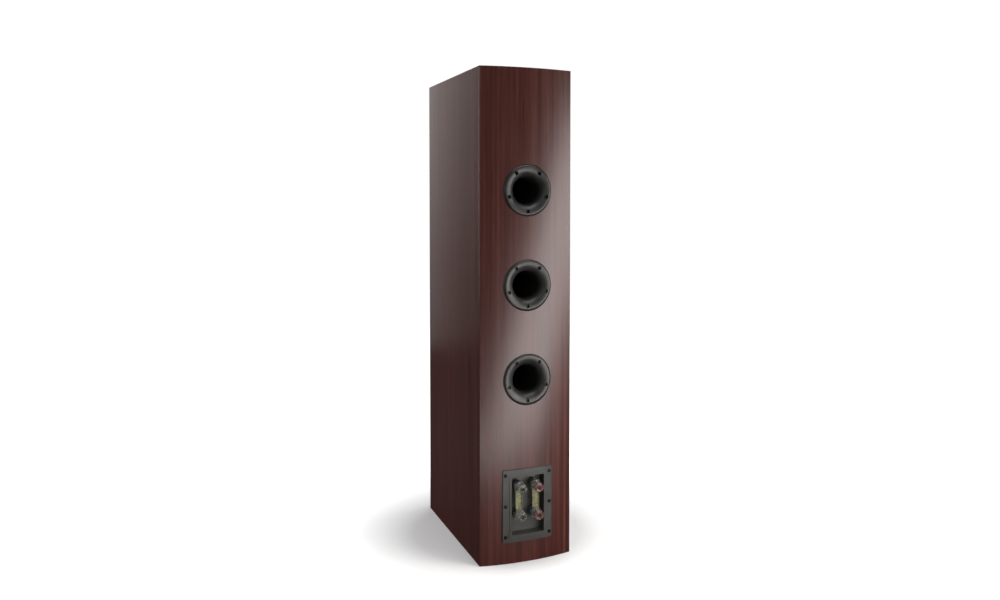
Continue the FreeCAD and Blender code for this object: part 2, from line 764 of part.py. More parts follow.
def terminal_plate():
    flange = curved_plate(PANEL_W, PANEL_H, 4.0, BACK_R, BACK_R + PANEL_T)
    bezel_w, bezel_h = WELL_W + 2 * BEZEL_W, WELL_H + 2 * BEZEL_W
    bezel = curved_plate(bezel_w, bezel_h, 3.0, BACK_R, BACK_R + PANEL_T + BEZEL_T)
    body_w, body_h = WELL_W + 2 * WELL_WALL, WELL_H + 2 * WELL_WALL
    floor = (WELL_FLOOR_Y - WELL_WALL, WELL_FLOOR_Y)
    well = rounded_block(body_w, body_h, 3.0, (floor[0], APEX_Y + 2), 0, PANEL_Z)
    well = well.common(back_cylinder(BACK_R + 1.0, 0, HEIGHT))
    plate = flange.fuse(bezel).fuse(well).removeSplitter()
    plate = plate.cut(rounded_block(WELL_W, WELL_H, 2.5, (floor[1], APEX_Y + 20), 0, PANEL_Z))
    for x, z in POSTS.values():
        plate = plate.cut(rod(BARREL_R + 0.2, floor[0] - 1, floor[1] + 1, x, z))
    for x, z in panel_screw_spots():
        plate = plate.cut(screw_hole(x, z, PANEL_HEAD_Y, PANEL_SCREW_LENGTH, -1, 6.0))
    return plate


def from_floor(outline):
    """Turns (radius, height) points into (radius, y), height counted from the well's floor."""
    moved = []
    for step in outline:
        if isinstance(step[0], tuple):
            moved.append(tuple((r, WELL_FLOOR_Y + h) for r, h in step))
        else:
            moved.append((step[0], WELL_FLOOR_Y + step[1]))
    return moved


def post_bushing(x, z):
    outline = [
        (BARREL_R + 0.2, 0.0),
        (BUSHING_R, 0.0),
        (BUSHING_R, BUSHING_H - 1.5),
        ((BUSHING_R - 0.44, BUSHING_H - 0.44), (BUSHING_R - 1.5, BUSHING_H)),
        (BARREL_R + 0.2, BUSHING_H),
    ]
    return lathe(from_floor(outline), x, z)


def post_barrel(x, z):
    """Threaded stud with a flange under the jumper and a plug hole down its middle."""
    bore_foot = BARREL_TIP_H - BANANA_DEPTH
    outline = [
        (0.0, -STUD_BACK),
        (BARREL_R, -STUD_BACK),
        (BARREL_R, BUSHING_H),
        (BARREL_FLANGE_R, BUSHING_H),
        (BARREL_FLANGE_R, BUSHING_H + BARREL_FLANGE_H),
        (BARREL_R, BUSHING_H + BARREL_FLANGE_H),
        (BARREL_R, BARREL_TIP_H - 0.6),
        (BARREL_R - 0.6, BARREL_TIP_H),
        (BANANA_R, BARREL_TIP_H),
        (BANANA_R, bore_foot),
        (0.0, bore_foot),
    ]
    barrel = lathe(from_floor(outline), x, z)
    wire_hole_y = WELL_FLOOR_Y + CAP_H + 2.2
    wire_hole = Part.makeCylinder(1.5, 20, Vector(x, wire_hole_y, z - 10), Z_AXIS)
    return barrel.cut(wire_hole)


def post_nut(x, z):
    """Hexagonal nut and lug washer behind the panel."""
    back = WELL_FLOOR_Y - WELL_WALL
    corners = [Vector(px, back - 1.0, pz) for px, pz in around(6, 7.5, x, z)]
    nut = Part.Face(Part.makePolygon(corners + corners[:1])).extrude(Y_AXIS * -6.0)
    washer = rod(9.0, back - 1.0, back, x, z)
    return nut.fuse(washer).cut(rod(BARREL_R + 0.02, back - 10, back + 1, x, z))


def clamp_washer(x, z):
    """Scalloped washer under the cap. It travels with the cap but doesn't turn."""
    low, high = WELL_FLOOR_Y + WASHER_H, WELL_FLOOR_Y + WASHER_H + WASHER_T
    washer = ring(WASHER_R, BARREL_R + THREAD_CLEARANCE, low, high, x, z)
    for sx, sz in around(12, WASHER_R + 0.6, x, z):
        washer = washer.cut(rod(1.5, low - 1, high + 1, sx, sz))
    return washer


def terminal_cap(x, z):
    """Threaded metal core pressed into a fluted grip, with a plug hole in its tip."""
    foot = CAP_H + 0.02
    inside = BARREL_TIP_H + 1.0
    core = [
        (BARREL_R + THREAD_CLEARANCE, foot),
        (CAP_CORE_R, foot),
        (CAP_CORE_R, TIP_H),
        (CAP_HOLE_R + 0.8, TIP_H),
        (CAP_HOLE_R, TIP_H - 0.8),
        (CAP_HOLE_R, inside),
        (BARREL_R + THREAD_CLEARANCE, inside),
    ]
    outline = [
        (CAP_CORE_R, foot),
        (CAP_FOOT_R, foot),
        (CAP_FOOT_R, CAP_H + 3.0),
        ((CAP_GRIP_R + 0.5, CAP_H + 4.4), (CAP_GRIP_R - 0.6, CAP_H + 6.4)),
        (CAP_GRIP_R, TIP_H - 6.0),
        (CAP_GRIP_R, TIP_H - 1.2),
        ((CAP_GRIP_R - 0.35, TIP_H - 0.35), (CAP_GRIP_R - 1.2, TIP_H)),
        (CAP_CORE_R, TIP_H),
    ]
    grip = lathe(from_floor(outline), x, z)
    low, high = WELL_FLOOR_Y + CAP_H + 7.5, WELL_FLOOR_Y + TIP_H + 1
    for sx, sz in around(CAP_FLUTES, CAP_GRIP_R + 1.3, x, z):
        grip = grip.cut(rod(2.3, low, high, sx, sz))
    return Part.makeCompound([lathe(from_floor(core), x, z), grip])


def jumper(x):
    """Link strip between the two posts of a column, with one long edge turned up."""
    low, high = WELL_FLOOR_Y + JUMPER_H, WELL_FLOOR_Y + JUMPER_H + JUMPER_T
    top, bottom = POST_MID_Z + POST_DZ, POST_MID_Z - POST_DZ
    strip = box((x - JUMPER_W / 2, x + JUMPER_W / 2), (low, high), (bottom, top))
    for z in (top, bottom):
        strip = strip.fuse(rod(JUMPER_W / 2, low, high, x, z))
    edge_z = (bottom + WASHER_R + 4, top - WASHER_R - 4)
    edge = box((x - JUMPER_W / 2, x - JUMPER_W / 2 + 1.2), (low, high + 2.4), edge_z)
    strip = strip.fuse(edge).removeSplitter()
    for z in (top, bottom):
        strip = strip.cut(rod(BARREL_R + 0.25, low - 1, high + 1, x, z))
    return strip


# ---------------------------------------------------------------- crossover
def crossover_board():
    return box((-INNER_X, -INNER_X + BOARD_T), (-120.0, 60.0), (50.0, BOARD_TOP_Z))


def crossover_inductors():
    """Air-cored coils standing on the board with their axes along X."""
    foot = -INNER_X + BOARD_T
    coils = []
    for y, z, outer, length in ((-85, 200, 28, 22), (-20, 200, 28, 22), (-85, 125, 25, 20)):
        start = Vector(foot, y, z)
        coil = Part.makeCylinder(outer, length, start, X_AXIS)
        coils.append(coil.cut(Part.makeCylinder(outer * 0.45, length, start, X_AXIS)))
    return Part.makeCompound(coils)


def crossover_capacitors():
    foot = -INNER_X + BOARD_T
    parts = []
    cans = [(-45, 140, 13, 48), (-45, 108, 13, 48), (-45, 77, 11, 42), (-105, 77, 11, 42)]
    for y, z, radius, length in cans:
        can = Part.makeCylinder(radius, length, Vector(foot + radius, y, z), Y_AXIS)
        parts.append(can.makeFillet(1.5, can.Edges))
    return Part.makeCompound(parts)


def trunk_start(y):
    """A lead leaves the top of the board and bends into line with the slots in the partitions."""
    board_face = -INNER_X + BOARD_T + CABLE_R
    return [
        (board_face + 0.5, y, BOARD_TOP_Z - 8),
        (board_face + 2.5, y, BOARD_TOP_Z + 14),
        (TRUNK_X, y, BOARD_TOP_Z + 38),
    ]


def internal_wiring():
    """Leads from the posts to the board, and one lead up to each driver."""
    cables = []
    back = WELL_FLOOR_Y - STUD_BACK
    board_x = -INNER_X + BOARD_T + 1.5
    for n, (x, z) in enumerate(POSTS.values()):
        into_y = 40.0 - 8.0 * n
        points = [
            (x, back, z),
            (x, back - 36, z),
            (-48, 78 - 6 * n, z - 6),
            (board_x, into_y, z - 8),
        ]
        cables.append(tube(points, 1.5))
    for y, z in zip(TRUNK_Y, DRIVER_Z.values()):
        to_woofer = [(TRUNK_X, y, z - 40), (TRUNK_X + 4, -100, z - 4), (-53.6, -139, z)]
        cables.append(tube(trunk_start(y) + to_woofer, CABLE_R))
    y, z = TRUNK_Y[-1], TWEETER_Z
    to_tweeter = [(TRUNK_X, y, z - 40), (TRUNK_X + 20, -90, z - 10), (-10, FRONT_Y + 58, z)]
    cables.append(tube(trunk_start(y) + to_tweeter, CABLE_R))
    return Part.makeCompound(cables)


# ---------------------------------------------------------------- grille
def grille_frame():
    """Two stiles, rails glued between them above, below and between the drivers, and glued pegs."""
    front, back = FRONT_Y - GRILLE_REACH + CLOTH_T, FRONT_Y - GRILLE_GAP
    width, height = GRILLE_W - 2 * CLOTH_T, GRILLE_H - 2 * CLOTH_T
    half = width / 2 - GRILLE_BAR
    outline = rounded_block(width, height, GRILLE_CORNER - CLOTH_T, (front, back), 0, HEIGHT / 2)
    members = outline.cut(box((-half, half), (front, back), (0, HEIGHT))).Solids
    for z in PEG_Z:
        members.append(box((-half, half), (front, back), (z - GRILLE_BAR / 2, z + GRILLE_BAR / 2)))
        for x in (-PEG_X, PEG_X):
            peg = rod(PEG_R, back, FRONT_Y + PEG_LENGTH, x, z)
            members.append(peg.makeChamfer(0.8, edges_at(peg, FRONT_Y + PEG_LENGTH)))
    return Part.makeCompound(members)


def grille_cloth():
    """Cloth drawn over the frame's front, and its four hems turned round the edges."""
    front = FRONT_Y - GRILLE_REACH
    fold = front + CLOTH_T
    back = FRONT_Y - GRILLE_GAP - 1.0
    mid_z = HEIGHT / 2
    face = rounded_block(GRILLE_W, GRILLE_H, GRILLE_CORNER, (front, fold), 0, mid_z)
    hems = rounded_block(GRILLE_W, GRILLE_H, GRILLE_CORNER, (fold, back), 0, mid_z)
    inner_w, inner_h = GRILLE_W - 2 * CLOTH_T, GRILLE_H - 2 * CLOTH_T
    hems = hems.cut(rounded_block(inner_w, inner_h, GRILLE_CORNER - CLOTH_T, (fold, back), 0, mid_z))
    cloth = [face]
    for side in (-1, 1):
        edge_x, inner_x = side * GRILLE_W / 2, side * (GRILLE_W / 2 - GRILLE_BAR)
        low, high = mid_z - GRILLE_H / 2, mid_z + GRILLE_H / 2
        corners = [(edge_x, low), (inner_x, low + GRILLE_BAR), (inner_x, high - GRILLE_BAR), (edge_x, high)]
        points = [Vector(px, fold, pz) for px, pz in corners]
        mitred = Part.Face(Part.makePolygon(points + points[:1])).extrude(Y_AXIS * (back - fold))
        cloth.append(hems.common(mitred))
        hems = hems.cut(mitred)
    return Part.makeCompound(cloth + hems.Solids)


# ---------------------------------------------------------------- everything
def compound_at_posts(make):
    return Part.makeCompound([make(x, z) for x, z in POSTS.values()])


def outer_panels():
    panels = {
        "left_side_panel": side_panel(-1),
        "right_side_panel": side_panel(1),
        "top_panel": end_panel(HEIGHT, INNER_TOP),
        "bottom_panel": bottom_panel(),
        "front_baffle": front_baffle(),
        "curved_back_panel": curved_back_panel(),
    }
    outline = cabinet_outline()
    return {name: panel.common(outline) for name, panel in panels.items()}


def all_parts():
    parts = outer_panels()
    parts |= {
        "chamber_partitions": chamber_partitions(),
        "damping_pads": damping_pads(),
        "spike_inserts": spike_inserts(),
        "port_screws": port_screws(),
        "woofer_top_plates": Part.makeCompound([woofer_top_plate(z) for z in DRIVER_Z.values()]),
        "woofer_magnets": Part.makeCompound([woofer_magnet(z) for z in DRIVER_Z.values()]),
        "woofer_pole_yokes": Part.makeCompound([woofer_pole_yoke(z) for z in DRIVER_Z.values()]),
        "tweeter_faceplate": tweeter_faceplate(),
        "tweeter_dome": tweeter_dome(),
        "tweeter_motor": tweeter_motor(),
        "tweeter_rear_chamber": tweeter_rear_chamber(),
        "driver_screws": driver_screws(),
        "terminal_plate": terminal_plate(),
        "terminal_screws": terminal_screws(),
        "post_bushings": compound_at_posts(post_bushing),
        "post_barrels": compound_at_posts(post_barrel),
        "post_nuts": compound_at_posts(post_nut),
        "jumper_positive": jumper(-POST_X),
        "jumper_negative": jumper(POST_X),
        "crossover_board": crossover_board(),
        "crossover_inductors": crossover_inductors(),
        "crossover_capacitors": crossover_capacitors(),
        "internal_wiring": internal_wiring(),
        "grille_frame": grille_frame(),
        "grille_cloth": grille_cloth(),
    }
    for place, z in DRIVER_Z.items():
        parts[f"port_{place}"] = port(z)
        parts[f"woofer_{place}_basket"] = woofer_basket(z)
        parts[f"woofer_{place}_surround"] = woofer_surround(z)
        parts[f"woofer_{place}_cone"] = woofer_cone(z)
        parts[f"woofer_{place}_dust_cap"] = woofer_dust_cap(z)
        parts[f"woofer_{place}_voice_coil"] = woofer_voice_coil(z)
        parts[f"woofer_{place}_spider"] = woofer_spider(z)
    for name, (x, z) in POSTS.items():
        parts[f"washer_{name}"] = clamp_washer(x, z)
        parts[f"cap_{name}"] = terminal_cap(x, z)
    return parts


def main():
    os.makedirs("parts", exist_ok=True)
    for name, shape in sorted(all_parts().items()):
        solids = shape.Solids
        if not solids or not all(s.isValid() and s.isClosed() and s.Volume > 0 for s in solids):
            raise ValueError(f"{name} isn't made of closed solids")
        shape.exportStep(f"parts/{name}.step")
        print(f"{name}: {len(solids)} solid(s), {sum(s.Volume for s in solids) / 1000:.1f} cm3")


main()
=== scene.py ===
import json
import math

import bmesh
import bpy
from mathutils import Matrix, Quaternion, Vector


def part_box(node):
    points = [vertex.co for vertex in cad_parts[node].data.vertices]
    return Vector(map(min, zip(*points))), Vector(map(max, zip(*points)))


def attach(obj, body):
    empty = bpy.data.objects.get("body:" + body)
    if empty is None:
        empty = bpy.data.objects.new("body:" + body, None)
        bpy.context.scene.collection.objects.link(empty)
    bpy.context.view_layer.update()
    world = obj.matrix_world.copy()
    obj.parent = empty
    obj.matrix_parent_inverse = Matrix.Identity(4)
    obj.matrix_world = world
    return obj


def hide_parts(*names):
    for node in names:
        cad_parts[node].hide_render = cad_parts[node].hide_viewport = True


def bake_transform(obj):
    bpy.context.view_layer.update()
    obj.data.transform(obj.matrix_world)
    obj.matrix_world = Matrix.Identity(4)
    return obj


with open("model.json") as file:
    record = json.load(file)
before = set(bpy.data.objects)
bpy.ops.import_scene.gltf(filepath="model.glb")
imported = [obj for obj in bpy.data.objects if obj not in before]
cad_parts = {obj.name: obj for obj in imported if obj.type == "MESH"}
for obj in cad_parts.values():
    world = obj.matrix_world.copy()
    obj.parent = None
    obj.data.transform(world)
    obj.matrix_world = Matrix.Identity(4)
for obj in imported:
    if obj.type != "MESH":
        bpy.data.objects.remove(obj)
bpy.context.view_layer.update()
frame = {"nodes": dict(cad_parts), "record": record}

PLACES = ("lower", "middle", "upper")
POSTS = ("treble_positive", "treble_negative", "bass_positive", "bass_negative")
SLOT_OF_NODE = {part["node"]: part["material_slot"] for part in frame["record"]["subparts"]}


def middle(node):
    low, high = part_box(node)
    return (low + high) / 2


# ---------------------------------------------------------------- material building blocks
class Look:
    """A procedural material. Fixed values go on the shader's own sockets, textures are linked."""

    def __init__(self, name, **fixed):
        self.material = bpy.data.materials.new(name)
        self.material.use_nodes = True
        self.tree = self.material.node_tree
        self.shader = self.tree.nodes["Principled BSDF"]
        for socket, value in fixed.items():
            self.shader.inputs[socket.replace("_", " ")].default_value = value

    def add(self, kind, **settings):
        made = self.tree.nodes.new(kind)
        for key, value in settings.items():
            setattr(made, key, value)
        return made

    def link(self, source, target):
        self.tree.links.new(source, target)

    def place(self, stretch=(1, 1, 1)):
        """Points of the object itself in metres, stretched."""
        where = self.add("ShaderNodeTexCoord")
        mapping = self.add("ShaderNodeMapping")
        mapping.inputs["Scale"].default_value = stretch
        self.link(where.outputs["Object"], mapping.inputs["Vector"])
        return mapping.outputs["Vector"]

    def noise(self, scale, stretch=(1, 1, 1), detail=4.0, roughness=0.55, distortion=0.0):
        made = self.add("ShaderNodeTexNoise")
        made.inputs["Scale"].default_value = scale
        made.inputs["Detail"].default_value = detail
        made.inputs["Roughness"].default_value = roughness
        made.inputs["Distortion"].default_value = distortion
        self.link(self.place(stretch), made.inputs["Vector"])
        return made.outputs["Fac"]

    def cells(self, scale, stretch=(1, 1, 1)):
        made = self.add("ShaderNodeTexVoronoi")
        made.inputs["Scale"].default_value = scale
        self.link(self.place(stretch), made.inputs["Vector"])
        return made.outputs["Distance"]

    def wave(self, scale, direction, distortion=0.0):
        """Ridges that follow one another along the X, Y or Z direction."""
        made = self.add("ShaderNodeTexWave", wave_type="BANDS", bands_direction=direction)
        made.inputs["Scale"].default_value = scale
        made.inputs["Distortion"].default_value = distortion
        self.link(self.place(), made.inputs["Vector"])
        return made.outputs["Fac"]

    def ramp(self, source, stops):
        made = self.add("ShaderNodeValToRGB")
        elements = made.color_ramp.elements
        while len(elements) < len(stops):
            elements.new(0.5)
        for element, (position, colour) in zip(elements, stops):
            element.position = position
            element.color = (*colour, 1)
        self.link(source, made.inputs["Fac"])
        return made.outputs["Color"]

    def grey(self, source, low, high, start=0.0, end=1.0):
        """Rescales a texture to run from low to high."""
        made = self.add("ShaderNodeMapRange")
        made.inputs["From Min"].default_value = start
        made.inputs["From Max"].default_value = end
        made.inputs["To Min"].default_value = low
        made.inputs["To Max"].default_value = high
        self.link(source, made.inputs["Value"])
        return made.outputs["Result"]

    def mix(self, share, first, second):
        """Blends two colours, each a fixed colour or a texture."""
        made = self.add("ShaderNodeMix", data_type="RGBA")
        for socket, value in ((made.inputs[0], share), (made.inputs[6], first), (made.inputs[7], second)):
            if isinstance(value, (float, tuple)):
                socket.default_value = value if isinstance(value, float) else (*value, 1)
            else:
                self.link(value, socket)
        return made.outputs[2]

    def arithmetic(self, operation, first, second):
        made = self.add("ShaderNodeMath", operation=operation)
        for socket, value in zip(made.inputs, (first, second)):
            if isinstance(value, (int, float)):
                socket.default_value = value
            else:
                self.link(value, socket)
        return made.outputs[0]

    def colour(self, source):
        self.link(source, self.shader.inputs["Base Color"])

    def rough(self, source):
        self.link(source, self.shader.inputs["Roughness"])

    def bump(self, height, strength, distance):
        """Raises the surface by up to distance metres. Bumps added later ride on earlier ones."""
        made = self.add("ShaderNodeBump")
        made.inputs["Strength"].default_value = strength
        made.inputs["Distance"].default_value = distance
        self.link(height, made.inputs["Height"])
        before = self.shader.inputs["Normal"].links
        if before:
            self.link(before[0].from_socket, made.inputs["Normal"])
        self.link(made.outputs["Normal"], self.shader.inputs["Normal"])


# ---------------------------------------------------------------- materials
def veneer(name, grain):
    """Dark red-brown veneer under satin lacquer. grain is the axis that the grain runs along."""
    def along(across, lengthwise):
        return tuple(lengthwise if axis == grain else across for axis in "XYZ")

    look = Look(name, Coat_Weight=0.25, Coat_Roughness=0.26, Specular_IOR_Level=0.42)
    bands = look.noise(24, along(1, 0.03), 4, 0.55, 0.3)
    fine = look.noise(110, along(1, 0.012), 5, 0.65, 0.2)
    pores = look.noise(750, along(1, 0.02), 3, 0.6)
    streak = look.noise(55, along(1, 0.01), 2, 0.4)
    base = look.ramp(bands, [(0.30, (0.042, 0.0090, 0.0070)), (0.52, (0.053, 0.0122, 0.0094)),
                             (0.72, (0.072, 0.0180, 0.0135))])
    grained = look.mix(look.grey(fine, 0.0, 0.85, 0.42, 0.70), base, (0.098, 0.027, 0.019))
    light = look.mix(look.grey(streak, 0.0, 0.75, 0.66, 0.76), grained, (0.24, 0.09, 0.06))
    dark = look.mix(look.grey(pores, 0.55, 0.0, 0.33, 0.47), light, (0.014, 0.0045, 0.0035))
    look.colour(dark)
    look.rough(look.grey(fine, 0.27, 0.38, 0.3, 0.7))
    look.bump(pores, 0.10, 0.00008)
    look.bump(fine, 0.06, 0.00012)
    return look.material


def fibreboard():
    look = Look("fibreboard", Roughness=0.85)
    speckle = look.noise(900, detail=6, roughness=0.7)
    look.colour(look.ramp(speckle, [(0.35, (0.24, 0.15, 0.08)), (0.65, (0.42, 0.29, 0.17))]))
    look.bump(speckle, 0.3, 0.0002)
    return look.material


def felt():
    look = Look("felt", Roughness=1.0, Sheen_Weight=0.4)
    fibres = look.noise(1600, (1, 0.3, 0.5), 6, 0.75, 1.2)
    clumps = look.noise(90, detail=3)
    look.colour(look.mix(look.grey(clumps, 0.0, 0.6, 0.35, 0.7), (0.05, 0.05, 0.055), (0.14, 0.14, 0.15)))
    look.bump(fibres, 0.8, 0.0006)
    return look.material


def moulded_plastic(name, dark, light, roughness, grain=0.00006, specular=0.5):
    """Satin moulded plastic with spark-eroded grain and faint handling marks."""
    look = Look(name, Specular_IOR_Level=specular)
    pits = look.noise(1900, detail=5, roughness=0.7)
    cloud = look.noise(28, detail=5, roughness=0.6)
    look.colour(look.mix(look.grey(cloud, 0.0, 1.0, 0.35, 0.65), dark, light))
    look.rough(look.grey(cloud, roughness - 0.05, roughness + 0.07, 0.3, 0.7))
    look.bump(pits, 0.35, grain)
    return look.material


def clear_plastic(name, tint, tip=None, tip_y=0.0):
    """Clear acrylic with faint moulding flow lines. tip colours it beyond tip_y."""
    look = Look(name, Transmission_Weight=0.94, IOR=1.52)
    flow = look.noise(120, (1, 3, 1), 3, 0.5, 0.8)
    clear = look.mix(look.grey(flow, 0.0, 0.35, 0.4, 0.7), tint, tuple(c * 0.75 for c in tint))
    if tip:
        split = look.add("ShaderNodeSeparateXYZ")
        look.link(look.place(), split.inputs[0])
        clear = look.mix(look.grey(split.outputs["Y"], 0.0, 1.0, tip_y - 0.0006, tip_y + 0.0006), clear, tip)
    look.colour(clear)
    look.rough(look.grey(flow, 0.02, 0.07, 0.3, 0.7))
    look.bump(flow, 0.12, 0.0001)
    return look.material


def brass(name, dull, bright, threads=False):
    """Dull plated brass, lightly tarnished."""
    look = Look(name, Metallic=0.9)
    wear = look.noise(170, detail=3, roughness=0.5)
    look.colour(look.ramp(wear, [(0.35, dull), (0.65, bright)]))
    look.rough(look.grey(wear, 0.30, 0.42, 0.3, 0.7))
    if threads:
        look.bump(look.wave(160, "Y"), 0.7, 0.0003)
    look.bump(look.noise(1500, (1, 1, 0.05), 3), 0.08, 0.00003)
    return look.material


def plated_steel():
    look = Look("plated_steel", Metallic=1.0)
    brush = look.noise(700, (1, 0.04, 1), 4)
    look.colour(look.ramp(brush, [(0.3, (0.42, 0.42, 0.40)), (0.7, (0.66, 0.66, 0.62))]))
    look.rough(look.grey(brush, 0.26, 0.42, 0.3, 0.7))
    return look.material


def black_steel():
    """Black oxide screws, brighter where a driver has rubbed them."""
    look = Look("black_steel", Metallic=0.85)
    rub = look.noise(420, detail=6, roughness=0.7)
    look.colour(look.ramp(rub, [(0.45, (0.006, 0.006, 0.007)), (0.72, (0.035, 0.035, 0.037))]))
    look.rough(look.grey(rub, 0.34, 0.5, 0.3, 0.7))
    return look.material


def ferrite():
    look = Look("ferrite", Roughness=0.62)
    grain = look.noise(1300, detail=5, roughness=0.7)
    look.colour(look.ramp(grain, [(0.35, (0.02, 0.02, 0.022)), (0.7, (0.055, 0.055, 0.06))]))
    look.bump(grain, 0.3, 0.0001)
    return look.material


def cast_frame():
    """Powder-coated casting."""
    look = Look("cast_frame", Metallic=0.4)
    powder = look.noise(1400, detail=4, roughness=0.6)
    look.colour(look.ramp(powder, [(0.3, (0.016, 0.016, 0.017)), (0.75, (0.042, 0.042, 0.045))]))
    look.rough(look.grey(powder, 0.38, 0.55, 0.3, 0.7))
    look.bump(powder, 0.35, 0.00012)
    return look.material


def surround_rubber():
    look = Look("surround_rubber", Sheen_Weight=0.15)
    bloom = look.noise(60, detail=5)
    look.colour(look.ramp(bloom, [(0.3, (0.010, 0.010, 0.010)), (0.75, (0.024, 0.024, 0.025))]))
    look.rough(look.grey(bloom, 0.46, 0.62, 0.3, 0.7))
    look.bump(look.noise(1700, detail=3), 0.15, 0.00005)
    return look.material


def pressed_paper(name, dark, light):
    """Coated paper pulp with short random fibres."""
    look = Look(name)
    fibres = look.noise(520, detail=7, roughness=0.72, distortion=1.6)
    cloud = look.noise(45, detail=3)
    body = look.mix(look.grey(fibres, 0.0, 0.8, 0.42, 0.62), dark, light)
    look.colour(look.mix(look.grey(cloud, 0.0, 0.35, 0.4, 0.7), body, dark))
    look.rough(look.grey(fibres, 0.50, 0.68, 0.35, 0.65))
    look.bump(fibres, 0.45, 0.00018)
    return look.material


def woven(name, warp, weft, pitch, axes, rough=0.9, depth=0.0002):
    """Plain weave: two crossed sets of threads."""
    look = Look(name, Roughness=rough, Sheen_Weight=0.25)
    first, second = (look.wave(0.5 / pitch, axis, 0.6) for axis in axes)
    slub = look.noise(240, detail=4)
    crossed = look.arithmetic("MAXIMUM", first, second)
    threads = look.mix(look.grey(first, 0.0, 1.0), warp, weft)
    look.colour(look.mix(look.grey(slub, 0.0, 0.5, 0.4, 0.75), threads, warp))
    look.bump(crossed, 0.6, depth)
    return look.material


def grille_cloth_look():
    """Open acoustic knit. Tiny holes between the threads let the drivers show faintly."""
    look = Look("grille_knit", Roughness=0.92, Sheen_Weight=0.3)
    slub = look.noise(180, detail=5)
    look.colour(look.ramp(slub, [(0.3, (0.0075, 0.0075, 0.008)), (0.75, (0.018, 0.018, 0.019))]))
    knit = look.cells(1100, (1, 1, 0.8))
    look.link(look.grey(knit, 0.72, 1.0, 0.12, 0.30), look.shader.inputs["Alpha"])
    look.bump(knit, 0.6, 0.0003)
    return look.material


def copper():
    look = Look("copper", Metallic=1.0)
    turns = look.wave(110, "Y")
    # Colour darker where the wave is low, in the grooves between the turns: painted shade.
    look.colour(look.ramp(turns, [(0.2, (0.30, 0.10, 0.04)), (0.8, (0.66, 0.28, 0.13))]))
    look.rough(look.grey(turns, 0.24, 0.40))
    look.bump(turns, 0.8, 0.0004)
    return look.material


def capacitor_film():
    look = Look("capacitor_film", Coat_Weight=0.3)
    cloud = look.noise(40, detail=3)
    look.colour(look.ramp(cloud, [(0.3, (0.24, 0.17, 0.02)), (0.7, (0.34, 0.26, 0.05))]))
    look.rough(look.grey(cloud, 0.25, 0.38, 0.3, 0.7))
    return look.material


def cable_sheath():
    look = Look("cable_sheath")
    cloud = look.noise(160, detail=4)
    look.colour(look.ramp(cloud, [(0.3, (0.09, 0.006, 0.006)), (0.75, (0.17, 0.018, 0.015))]))
    look.rough(look.grey(cloud, 0.42, 0.58, 0.3, 0.7))
    return look.material


RED_TIP = 0.0065            # length of a positive cap's red end
RED_FROM_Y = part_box("cap_treble_positive")[1].y - RED_TIP
RED_TINT = (0.94, 0.50, 0.54)
CLEAR_TINT = (0.74, 0.76, 0.74)
BRASS_DULL, BRASS_BRIGHT = (0.16, 0.16, 0.09), (0.27, 0.265, 0.16)
WEAVE = ("X", "Z")

LOOKS = {
    "veneer": veneer("veneer_upright", "Z"),
    "board": fibreboard(),
    "felt": felt(),
    "plated_steel": plated_steel(),
    "black_screws": black_steel(),
    "ferrite": ferrite(),
    "tweeter_plate": moulded_plastic("tweeter_plate", (0.012, 0.012, 0.013), (0.022, 0.022, 0.024), 0.42),
    "dome": woven("dome_cloth", (0.008, 0.008, 0.009), (0.02, 0.02, 0.021), 0.0004, WEAVE, 0.55, 0.00005),
    "black_plastic": moulded_plastic("black_plastic", (0.012, 0.012, 0.012), (0.02, 0.02, 0.02), 0.5),
    "terminal_plastic": moulded_plastic(
        "terminal_plastic", (0.034, 0.035, 0.032), (0.050, 0.051, 0.047), 0.42),
    "port_plastic": moulded_plastic("port_plastic", (0.014, 0.0135, 0.013), (0.024, 0.023, 0.022), 0.40),
    "clear_plastic": clear_plastic("clear_plastic", CLEAR_TINT),
    "clear_red_plastic": clear_plastic("clear_red_plastic", CLEAR_TINT, RED_TINT, RED_FROM_Y),
    "gold": brass("brass", BRASS_DULL, BRASS_BRIGHT),
    "copper": copper(),
    "capacitor_film": capacitor_film(),
    "cable_sheath": cable_sheath(),
    "grille_board": moulded_plastic("grille_board", (0.01, 0.01, 0.01), (0.018, 0.018, 0.018), 0.55),
    "grille_fabric": grille_cloth_look(),
    "cast_frame": cast_frame(),
    "surround_rubber": surround_rubber(),
    "cone": pressed_paper("cone_paper", (0.018, 0.018, 0.018), (0.062, 0.060, 0.057)),
    "dust_cap": pressed_paper("dust_cap_paper", (0.010, 0.010, 0.010), (0.026, 0.026, 0.026)),
    "spider_cloth": woven("spider_cloth", (0.30, 0.18, 0.06), (0.44, 0.29, 0.11), 0.0008, WEAVE),
}
VENEER_LYING = veneer("veneer_lying", "Y")
THREADED_BRASS = brass("threaded_brass", BRASS_DULL, BRASS_BRIGHT, threads=True)
NICKEL = brass("nickel", (0.34, 0.34, 0.30), (0.52, 0.52, 0.47))
LOOK_OF_NODE = {
    "top_panel": VENEER_LYING,
    "bottom_panel": VENEER_LYING,
    "post_barrels": THREADED_BRASS,
}


def dress(piece, look):
    piece.data.materials.clear()
    piece.data.materials.append(look)


def dress_cad():
    for name, piece in frame["nodes"].items():
        dress(piece, LOOK_OF_NODE.get(name, LOOKS[SLOT_OF_NODE[name]]))


# ---------------------------------------------------------------- mesh building blocks
def add_piece(name, mesh, slot, look=None):
    piece = bpy.data.objects.new(name, mesh)
    bpy.context.scene.collection.objects.link(piece)
    dress(piece, look or LOOKS[slot])
    return piece


